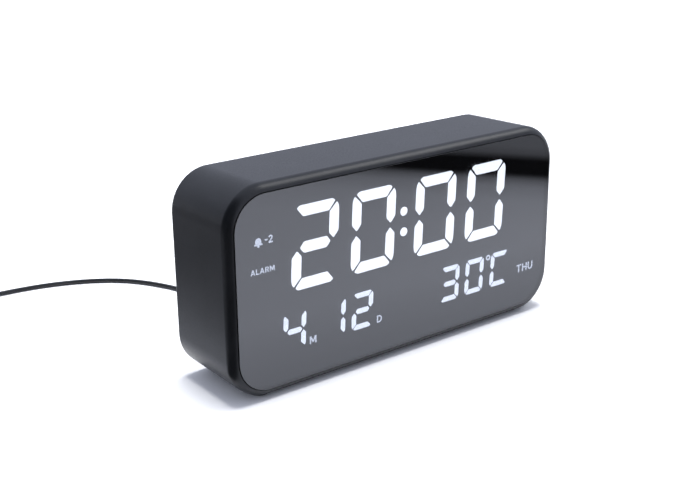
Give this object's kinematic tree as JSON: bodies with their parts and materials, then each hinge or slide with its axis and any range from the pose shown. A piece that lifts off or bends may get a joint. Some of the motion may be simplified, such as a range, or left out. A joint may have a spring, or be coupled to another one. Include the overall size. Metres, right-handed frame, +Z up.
{
  "type": "alarm clock",
  "caption": "Rounded black desk alarm clock with a smoked mirror front over white bar digits, rear keys, speaker slots, battery lid and a thin supply lead.",
  "frame": {"origin": "under the middle of the clock's box without its lead, on the plane that its rubber feet stand on", "axes": "+X to the right across the front, +Y to the back, +Z up; the mirror front faces -Y"},
  "size_m": [0.2385, 0.1669, 0.0826],
  "materials": {
    "housing_black": "fine satin ABS",
    "lens_smoked": "polished half-mirror acrylic",
    "foam_black": "matt foam tape",
    "mask_black": "printed matt film",
    "diffuser_white": "frosted film, lit from behind",
    "light_guide_white": "moulded matt",
    "board_green": "solder mask",
    "chip_black": "moulded satin",
    "can_silver": "satin can",
    "header_cream": "moulded nylon",
    "ribbon_grey": "satin film",
    "cover_black": "fine sparked ABS",
    "key_black": "soft satin",
    "switch_dark": "moulded",
    "plunger_cream": "moulded nylon",
    "speaker_steel": "plated",
    "cone_dark": "formed film",
    "cell_silver": "printed sleeve and nickelled ends",
    "contact_nickel": "bright nickel",
    "screw_dark": "black zinc",
    "screw_bright": "zinc",
    "foot_rubber": "matt",
    "lead_black": "satin PVC",
    "tie_black": "coated wire"
  },
  "bodies": {
    "clock": {"casing": "housing_black", "front_lens": "lens_smoked", "lens_tape": "foam_black", "display_mask": "mask_black", "diffuser_sheet": "diffuser_white", "reflector_frame": "light_guide_white", "display_board": "board_green", "controller_chip": "chip_black", "supply_capacitor": "can_silver", "ribbon_header": "header_cream", "ribbon_cable": "ribbon_grey", "rear_cover": "cover_black", "key_board": "board_green", "power_jack": "chip_black", "temperature_sensor": "chip_black", "speaker_frame": "speaker_steel", "speaker_cone": "cone_dark", "speaker_magnet": "speaker_steel", "battery_cell_1": "cell_silver", "battery_cell_2": "cell_silver", "battery_spring_1": "contact_nickel", "battery_spring_2": "contact_nickel", "battery_plate": "contact_nickel", "battery_bridge": "contact_nickel", "switch_set": "switch_dark", "switch_up": "switch_dark", "switch_down": "switch_dark", "switch_alarm": "switch_dark", "switch_light": "switch_dark", "cover_screw_1": "screw_dark", "display_screw_1": "screw_bright", "cover_screw_2": "screw_dark", "display_screw_2": "screw_bright", "cover_screw_3": "screw_dark", "display_screw_3": "screw_bright", "cover_screw_4": "screw_dark", "display_screw_4": "screw_bright", "foot_front_left": "foot_rubber", "foot_front_right": "foot_rubber", "foot_rear_left": "foot_rubber", "foot_rear_right": "foot_rubber"},
    "set_button": {"key_set": "key_black", "plunger_set": "plunger_cream"},
    "up_button": {"key_up": "key_black", "plunger_up": "plunger_cream"},
    "down_button": {"key_down": "key_black", "plunger_down": "plunger_cream"},
    "alarm_button": {"key_alarm": "key_black", "plunger_alarm": "plunger_cream"},
    "light_button": {"key_light": "key_black", "plunger_light": "plunger_cream"},
    "battery_lid": {"battery_door": "cover_black"},
    "supply_lead": {"plug_barrel": "contact_nickel", "plug_body": "lead_black", "lead_cord": "lead_black", "lead_coil": "lead_black", "coil_tie": "tie_black", "lead_tail": "lead_black", "usb_plug_grip": "lead_black", "usb_plug_shell": "contact_nickel"}
  },
  "joints": [
    {"name": "set_press", "type": "slide", "parent": "clock", "child": "set_button", "axis": [0, -1, 0], "range_m": [0, 0.0005], "stiffness_N_per_m": 800},
    {"name": "up_press", "type": "slide", "parent": "clock", "child": "up_button", "axis": [0, -1, 0], "range_m": [0, 0.0005], "stiffness_N_per_m": 800},
    {"name": "down_press", "type": "slide", "parent": "clock", "child": "down_button", "axis": [0, -1, 0], "range_m": [0, 0.0005], "stiffness_N_per_m": 800},
    {"name": "alarm_press", "type": "slide", "parent": "clock", "child": "alarm_button", "axis": [0, -1, 0], "range_m": [0, 0.0005], "stiffness_N_per_m": 800},
    {"name": "light_press", "type": "slide", "parent": "clock", "child": "light_button", "axis": [0, -1, 0], "range_m": [0, 0.0005], "stiffness_N_per_m": 800},
    {"name": "battery_lid_hinge", "type": "hinge", "parent": "clock", "child": "battery_lid", "pos_m": [0.034, 0.0182, 0.0184], "axis": [-1, 0, 0], "range_deg": [0, 75]},
    {"name": "lead_pull_out", "type": "slide", "parent": "clock", "child": "supply_lead", "axis": [0, 1, 0], "range_m": [0, 0.012]}
  ]
}
